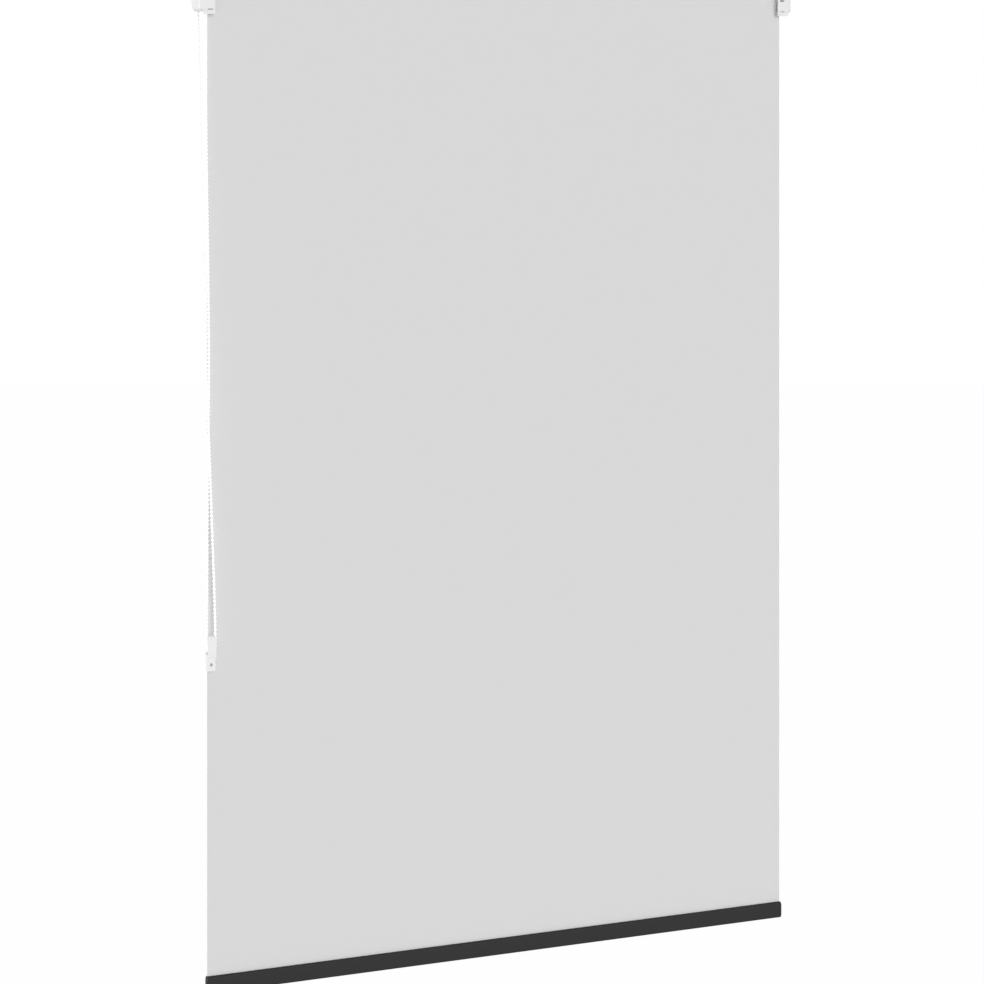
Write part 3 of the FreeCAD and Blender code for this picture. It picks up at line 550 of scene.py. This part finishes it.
# Double-sided tape: a clear film with a yellowish adhesive
film, tree, shader = new_material("adhesive film")
where = add(tree, "ShaderNodeTexCoord")
cloud = add(tree, "ShaderNodeTexNoise", {"Scale": 80, "Detail": 2}, {"Vector": where.outputs["Object"]})
tint = add(tree, "ShaderNodeValToRGB", None, {"Fac": cloud.outputs["Fac"]})
tint.color_ramp.elements[0].color = linear("#E2DDC8")
tint.color_ramp.elements[1].color = linear("#EBE7D6")
tree.links.new(tint.outputs["Color"], shader.inputs["Base Color"])
shader.inputs["Roughness"].default_value = 0.25
use_material(film, "fabric_tape")


# Drive and idle ends. The fixed core, wheel, sleeve, guard, plug and bush are moulded in nylon, the
# springs are wound from steel wire, and the pin and the screw are turned steel.
nylon, tree, shader = new_material("moulded nylon")
where = add(tree, "ShaderNodeTexCoord")
cloud = add(tree, "ShaderNodeTexNoise", {"Scale": 40, "Detail": 2}, {"Vector": where.outputs["Object"]})
tint = add(tree, "ShaderNodeValToRGB", None, {"Fac": cloud.outputs["Fac"]})
tint.color_ramp.elements[0].color = linear("#E6E6E2")
tint.color_ramp.elements[1].color = linear("#EFEFEC")
tree.links.new(tint.outputs["Color"], shader.inputs["Base Color"])
shader.inputs["Roughness"].default_value = 0.42
shader.inputs["IOR"].default_value = 1.53
use_material(nylon, "drive_core", "chain_wheel", "drive_sleeve", "chain_guard", "idle_plug", "idle_bush")

# Spring steel: grey and smooth, with lines round it that show the coils of wire
wire, tree, shader = new_material("drawn steel wire")
where = add(tree, "ShaderNodeTexCoord")
coils = add(
    tree, "ShaderNodeTexWave", {"bands_direction": "X", "Scale": 130, "Distortion": 0.2},
    {"Vector": where.outputs["Object"]},
)
relief = add(tree, "ShaderNodeBump", {"Strength": 0.5, "Distance": 0.0003}, {"Height": coils.outputs["Fac"]})
tree.links.new(relief.outputs[0], shader.inputs["Normal"])
shader.inputs["Base Color"].default_value = linear("#A9ACB0")
shader.inputs["Metallic"].default_value = 1
shader.inputs["Roughness"].default_value = 0.3
use_material(wire, "wrap_springs", "idle_spring")

# Turned steel: brighter than the wire, with a roughness that varies finely from the tool's marks
turned, tree, shader = new_material("turned steel")
where = add(tree, "ShaderNodeTexCoord")
marks = add(tree, "ShaderNodeTexNoise", {"Scale": 900, "Detail": 3}, {"Vector": where.outputs["Object"]})
rough = add(tree, "ShaderNodeMapRange", {"To Min": 0.2, "To Max": 0.35}, {"Value": marks.outputs["Fac"]})
tree.links.new(rough.outputs[0], shader.inputs["Roughness"])
shader.inputs["Base Color"].default_value = linear("#B9BBBE")
shader.inputs["Metallic"].default_value = 1
use_material(turned, "core_screw", "idle_pin", "tensioner_axle")


# Hanging cloth. One flat width hangs straight from the roll's room side into the bottom rail. It is cut
# with heat, so its side edges curl back very slightly, and faint waves a few hands wide run down it.
CLOTH_TOP = -9.5
CLOTH_LOW = -1458.1
CLOTH_AT = -38.0
EDGE_BAND = 2.5
CURL = 0.5
WAVE = 0.25
bm = bmesh.new()
bmesh.ops.create_grid(bm, x_segments=120, y_segments=90, size=0.5)
bmesh.ops.rotate(bm, cent=(0, 0, 0), matrix=Matrix.Rotation(math.radians(90), 3, "X"), verts=bm.verts)
bmesh.ops.scale(bm, vec=(ROLLER_LONG, 1, CLOTH_TOP - CLOTH_LOW), verts=bm.verts)
bmesh.ops.translate(bm, vec=(0, CLOTH_AT, (CLOTH_TOP + CLOTH_LOW) / 2), verts=bm.verts)
cut_along(bm, [((side * (ROLLER_LONG / 2 - EDGE_BAND), 0, 0), (1, 0, 0)) for side in (-1, 1)])
for vertex in bm.verts:
    share = (vertex.co.z - CLOTH_LOW) / (CLOTH_TOP - CLOTH_LOW)
    free = math.sin(math.pi * share)
    from_edge = ROLLER_LONG / 2 - abs(vertex.co.x)
    curl = CURL * free ** 0.3 * math.exp(-from_edge) if 0 < share < 1 else 0
    wave = WAVE * free * math.sin(vertex.co.x / 95 + 1.3 * math.sin(vertex.co.z / 400))
    vertex.co.y += curl + wave
bmesh.ops.solidify(bm, geom=bm.faces[:], thickness=FABRIC_THICK)
crisp_edges(bm)
for face in bm.faces:
    face.material_index = 1 if face.normal.y > 0.5 else 0
low = min(vertex.co.y for vertex in bm.verts if vertex.co.z > CLOTH_TOP - 1)
bmesh.ops.translate(bm, vec=(0, CLOTH_AT - FABRIC_THICK / 2 - low, 0), verts=bm.verts)
hanging = new_piece("hanging_cloth", bm, [cloth, coating])
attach(hanging, "brackets")
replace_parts(hanging, "hanging_fabric")
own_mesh(hanging)


# Bottom rail. It is an aluminium extrusion with a hollow below and a slotted chamber on top that holds the
# cloth's hem strip, powder coated dark grey, with a plastic cap pushed in at each end.
RAIL_TOP = -1456.5
RAIL_HIGH = 25.0
RAIL_DEEP = 10.0
RAIL_CORNER = 2.4
RAIL_WALL = 1.2
RAIL_INSIDE = RAIL_DEEP / 2 - RAIL_WALL
HEM_SLOT = 0.8
HEM_LIP = 1.6
HEM_CHAMBER = 6.6
HOLLOW_TOP = HEM_CHAMBER + RAIL_WALL
HOLLOW_LOW = RAIL_HIGH - RAIL_WALL
CAP_THICK = 1.8
CAP_STEPS = 8
CAP_CLOSES = (0.2, 0.6)
CAP_PLUG = 12.0
PLUG_SLIP = 0.1

# Powder coat: a dark neutral grey, satin, with the fine orange peel of a baked paint
powder, tree, shader = new_material("powder coat")
where = add(tree, "ShaderNodeTexCoord")
peel = add(tree, "ShaderNodeTexNoise", {"Scale": 700, "Detail": 2}, {"Vector": where.outputs["Object"]})
relief = add(tree, "ShaderNodeBump", {"Strength": 0.1, "Distance": 0.0001}, {"Height": peel.outputs["Fac"]})
tree.links.new(relief.outputs[0], shader.inputs["Normal"])
tint = add(tree, "ShaderNodeValToRGB", None, {"Fac": peel.outputs["Fac"]})
tint.color_ramp.elements[0].color = linear("#262626")
tint.color_ramp.elements[1].color = linear("#282828")
tree.links.new(tint.outputs["Color"], shader.inputs["Base Color"])
shader.inputs["Roughness"].default_value = 0.6
shader.inputs["Specular IOR Level"].default_value = 0.2


def rail_section(bm, x):
    """A flat face across the rail with its rounded corners."""
    front = CLOTH_AT - RAIL_DEEP / 2
    back = CLOTH_AT + RAIL_DEEP / 2
    low = RAIL_TOP - RAIL_HIGH
    outline = ((x, front, low), (x, front, RAIL_TOP), (x, back, RAIL_TOP), (x, back, low))
    face = bm.faces.new([bm.verts.new(at) for at in outline])
    bmesh.ops.bevel(
        bm, geom=face.verts[:], offset=RAIL_CORNER, segments=5, profile=0.5, affect="VERTICES", material=-1,
        clamp_overlap=True,
    )


bm = bmesh.new()
rail_section(bm, -ROLLER_LONG / 2)
planes = [((0, CLOTH_AT + out, 0), (0, 1, 0)) for out in (-HEM_SLOT, HEM_SLOT, -RAIL_INSIDE, RAIL_INSIDE)]
planes += [((0, 0, RAIL_TOP - depth), (0, 0, 1)) for depth in (HEM_LIP, HEM_CHAMBER, HOLLOW_TOP, HOLLOW_LOW)]
cut_along(bm, planes)
hollows = []
for face in bm.faces:
    at = face.calc_center_median()
    depth = RAIL_TOP - at.z
    from_middle = abs(at.y - CLOTH_AT)
    if from_middle < HEM_SLOT and depth < HEM_LIP:
        hollows.append(face)
    if from_middle < RAIL_INSIDE and (HEM_LIP < depth < HEM_CHAMBER or HOLLOW_TOP < depth < HOLLOW_LOW):
        hollows.append(face)
bmesh.ops.delete(bm, geom=hollows, context="FACES")
bmesh.ops.dissolve_limit(bm, angle_limit=0.01, verts=bm.verts, edges=bm.edges)
far_end = bmesh.ops.extrude_face_region(bm, geom=bm.faces[:])
bmesh.ops.translate(bm, vec=(ROLLER_LONG, 0, 0), verts=corners(far_end))
bmesh.ops.recalc_face_normals(bm, faces=bm.faces)
rail = new_piece("hem_rail", bm, [powder])
ease_edges(rail, 0.2)
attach(rail, "rail")
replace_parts(rail, "bottom_rail")

# Polypropylene in the rail's colour: a little duller than the paint
cap_plastic, tree, shader = new_material("moulded polypropylene")
where = add(tree, "ShaderNodeTexCoord")
grain = add(tree, "ShaderNodeTexNoise", {"Scale": 1800, "Detail": 2}, {"Vector": where.outputs["Object"]})
relief = add(tree, "ShaderNodeBump", {"Strength": 0.12, "Distance": 0.0001}, {"Height": grain.outputs["Fac"]})
tree.links.new(relief.outputs[0], shader.inputs["Normal"])
tint = add(tree, "ShaderNodeValToRGB", None, {"Fac": grain.outputs["Fac"]})
tint.color_ramp.elements[0].color = linear("#222222")
tint.color_ramp.elements[1].color = linear("#252525")
tree.links.new(tint.outputs["Color"], shader.inputs["Base Color"])
shader.inputs["Roughness"].default_value = 0.6
shader.inputs["Specular IOR Level"].default_value = 0.2


def end_cap(name, side, node):
    """A cap that closes over its depth and height in a low dome, with a plug for the rail's lower hollow."""
    bm = bmesh.new()
    edge = ROLLER_LONG / 2
    rail_section(bm, edge)
    outer = bm.faces[:]
    heart = Matrix.Translation((-edge, -CLOTH_AT, RAIL_HIGH / 2 - RAIL_TOP))
    done = Vector((1, 1))
    for step in range(1, CAP_STEPS + 1):
        turn = math.radians(90) * step / CAP_STEPS
        raised = bmesh.ops.extrude_face_region(bm, geom=outer)
        outer = [part for part in raised["geom"] if isinstance(part, bmesh.types.BMFace)]
        shrunk = Vector([1 - closes * (1 - math.cos(turn)) for closes in CAP_CLOSES])
        bmesh.ops.scale(
            bm, vec=(1, shrunk.x / done.x, shrunk.y / done.y), space=heart, verts=corners(raised)
        )
        climb = CAP_THICK * (math.sin(turn) - math.sin(turn - math.radians(90) / CAP_STEPS))
        bmesh.ops.translate(bm, vec=(climb, 0, 0), verts=corners(raised))
        done = shrunk
    reach = RAIL_INSIDE - PLUG_SLIP
    add_block(
        bm, (edge - CAP_PLUG, CLOTH_AT - reach, RAIL_TOP - HOLLOW_LOW + PLUG_SLIP),
        (edge, CLOTH_AT + reach, RAIL_TOP - HOLLOW_TOP - PLUG_SLIP),
    )
    bmesh.ops.scale(bm, vec=(side, 1, 1), verts=bm.verts)
    bmesh.ops.recalc_face_normals(bm, faces=bm.faces)
    cap = new_piece(name, bm, [cap_plastic])
    ease_edges(cap, 0.2)
    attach(cap, "rail")
    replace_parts(cap, node)


end_cap("rail_end_left", -1, "rail_cap_left")
end_cap("rail_end_right", 1, "rail_cap_right")

# Hem strip: a plain PVC extrusion welded to the cloth's end
pvc, tree, shader = new_material("extruded PVC")
where = add(tree, "ShaderNodeTexCoord")
cloud = add(tree, "ShaderNodeTexNoise", {"Scale": 50, "Detail": 2}, {"Vector": where.outputs["Object"]})
tint = add(tree, "ShaderNodeValToRGB", None, {"Fac": cloud.outputs["Fac"]})
tint.color_ramp.elements[0].color = linear("#CFCFCB")
tint.color_ramp.elements[1].color = linear("#DADAD6")
tree.links.new(tint.outputs["Color"], shader.inputs["Base Color"])
shader.inputs["Roughness"].default_value = 0.4
use_material(pvc, "hem_strip")


# Chain tensioner. Two white ABS plates hold a small grooved pulley on a steel axle, which ends inside the
# front one, and run on below it into a tab with one screw hole. It keeps the loop taut, for a child's sake.
PLATE_WIDE = 13.0
PLATE_THICK = 1.8
PLATE_ROUND = 2.4
PLATE_TOP = -951.5
PLATE_LOW = -983.5
REAR_FACE = -43.7
REAR_INSIDE = REAR_FACE - PLATE_THICK
FRONT_FACE = -54.7
FRONT_INSIDE = FRONT_FACE + PLATE_THICK
JOIN_TOP = -978.73
TAB_FACE = -50.7
TAB_LOW = -1003.5
AXLE_RADIUS = 2.0
AXLE_END = -53.9
SCREW_RADIUS = 2.25
SCREW_AT = -994.0
DRILL_LONG = 30.0
DRILL_THROUGH = -60.0

# Polished ABS: a touch lighter and smoother than the covers
abs_smooth, tree, shader = new_material("polished ABS")
where = add(tree, "ShaderNodeTexCoord")
cloud = add(tree, "ShaderNodeTexNoise", {"Scale": 60, "Detail": 2}, {"Vector": where.outputs["Object"]})
tint = add(tree, "ShaderNodeValToRGB", None, {"Fac": cloud.outputs["Fac"]})
tint.color_ramp.elements[0].color = linear("#E8E8E8")
tint.color_ramp.elements[1].color = linear("#EAEAEA")
tree.links.new(tint.outputs["Color"], shader.inputs["Base Color"])
shader.inputs["Roughness"].default_value = 0.35


def tensioner_half(name, profile, node):
    """A plate from its outline seen from the side, with rounded ends and its two holes."""
    bm = bmesh.new()
    x = PULLEY_AT.x * 1000 - PLATE_WIDE / 2
    side = bm.faces.new([bm.verts.new((x, y, z)) for y, z in profile])
    far_side = bmesh.ops.extrude_face_region(bm, geom=[side])
    bmesh.ops.translate(bm, vec=(PLATE_WIDE, 0, 0), verts=corners(far_side))
    bmesh.ops.recalc_face_normals(bm, faces=bm.faces)
    ends = []
    for edge in bm.edges:
        a, b = (vertex.co for vertex in edge.verts)
        if abs(a.y - b.y) > 0.5 and a.z == b.z and a.x == b.x and a.z in (PLATE_TOP, TAB_LOW):
            ends.append(edge)
    bmesh.ops.bevel(bm, geom=ends, offset=PLATE_ROUND, segments=6, profile=0.5, affect="EDGES", material=-1)
    half = new_piece(name, bm, [abs_smooth])
    axle_at = PULLEY_AT.z * 1000
    for radius, tip, z in ((AXLE_RADIUS, AXLE_END, axle_at), (SCREW_RADIUS, DRILL_THROUGH, SCREW_AT)):
        place = Matrix.Translation((PULLEY_AT.x * 1000, tip + DRILL_LONG / 2, z))
        drill = bmesh.new()
        bmesh.ops.create_cone(
            drill, cap_ends=True, segments=32, radius1=radius, radius2=radius, depth=DRILL_LONG,
            matrix=place @ Matrix.Rotation(math.radians(90), 4, "X"),
        )
        drill = new_piece("drill", drill, [])
        hole = half.modifiers.new("hole", "BOOLEAN")
        hole.object = drill
        hole.solver = "EXACT"
        bpy.context.view_layer.update()
        evaluated = half.evaluated_get(bpy.context.evaluated_depsgraph_get())
        drilled = bpy.data.meshes.new_from_object(evaluated)
        half.modifiers.clear()
        half.data = drilled
        bpy.data.objects.remove(drill)
    ease_edges(half, 0.45, 3)
    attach(half, "brackets")
    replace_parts(half, node)


tensioner_half(
    "tensioner_rear_plate",
    [(REAR_FACE, PLATE_TOP), (REAR_INSIDE, PLATE_TOP), (REAR_INSIDE, TAB_LOW), (REAR_FACE, TAB_LOW)],
    "tensioner_back",
)
tensioner_half(
    "tensioner_front_plate",
    [
        (FRONT_FACE, PLATE_TOP), (FRONT_FACE, PLATE_LOW), (TAB_FACE, PLATE_LOW), (TAB_FACE, TAB_LOW),
        (REAR_INSIDE, TAB_LOW), (REAR_INSIDE, JOIN_TOP), (FRONT_INSIDE, JOIN_TOP), (FRONT_INSIDE, PLATE_TOP),
    ],
    "tensioner_front",
)

# The pulley: a drum between two flanges, spun about its axle
BORE = 2.06
DRUM = 4.13
FLANGE = 6.98
PULLEY_HALF = 3.3
GROOVE_HALF = 2.55
bm = bmesh.new()
outline = [
    (BORE, -PULLEY_HALF), (FLANGE, -PULLEY_HALF), (FLANGE, -GROOVE_HALF), (DRUM, -GROOVE_HALF),
    (DRUM, GROOVE_HALF), (FLANGE, GROOVE_HALF), (FLANGE, PULLEY_HALF), (BORE, PULLEY_HALF),
]
ring = [bm.verts.new((radius, across, 0)) for radius, across in outline]
edges = [bm.edges.new((here, there)) for here, there in zip(ring, ring[1:] + ring[:1])]
bmesh.ops.spin(
    bm, geom=ring + edges, cent=(0, 0, 0), axis=(0, 1, 0), dvec=(0, 0, 0), angle=2 * math.pi, steps=32,
    use_merge=True,
)
bmesh.ops.recalc_face_normals(bm, faces=bm.faces)
bmesh.ops.translate(bm, vec=PULLEY_AT * 1000, verts=bm.verts)
# The pulley takes the chain's acetal, painted glow included
pulley = new_piece("grooved_pulley", bm, [acetal])
ease_edges(pulley, 0.15)
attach(pulley, "tensioner_pulley")
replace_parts(pulley, "tensioner_pulley")
